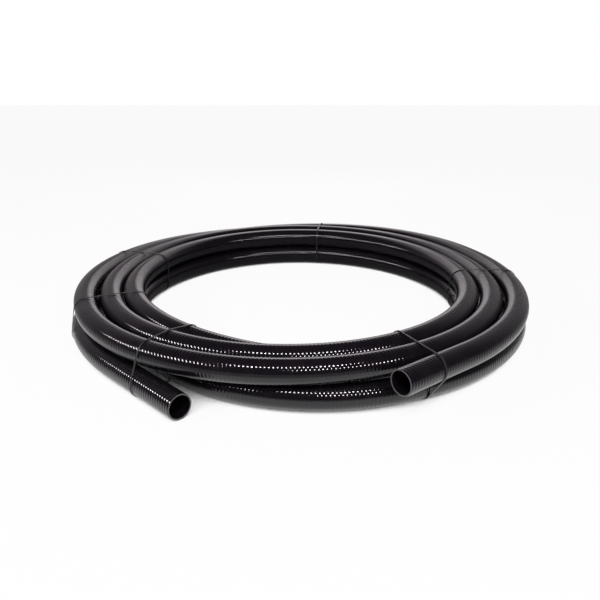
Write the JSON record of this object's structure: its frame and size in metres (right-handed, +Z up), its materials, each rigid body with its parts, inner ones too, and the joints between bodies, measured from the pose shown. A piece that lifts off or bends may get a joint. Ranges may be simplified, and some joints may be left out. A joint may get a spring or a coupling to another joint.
{
  "type": "corrugated conduit",
  "caption": "Tied coil of black flexible corrugated conduit, wound in flat rings in an upper and a lower layer, with both open ends free. It carries and protects cables.",
  "frame": {"origin": "on the floor, under the middle of the coil's outline", "axes": "+Z up; -Y is the side where both open ends of the conduit lie; the axis of the rings is +Z"},
  "size_m": [1.0602, 1.074, 0.105],
  "materials": {
    "conduit": "smooth, lightly glossy black extruded plastic with fine ribs",
    "tie": "matt black moulded plastic"
  },
  "bodies": {
    "root": {"conduit": "conduit", "tie_back": "tie", "tie_back_left": "tie", "tie_left": "tie", "tie_front_left": "tie", "tie_front_right": "tie", "tie_right": "tie"}
  },
  "joints": []
}
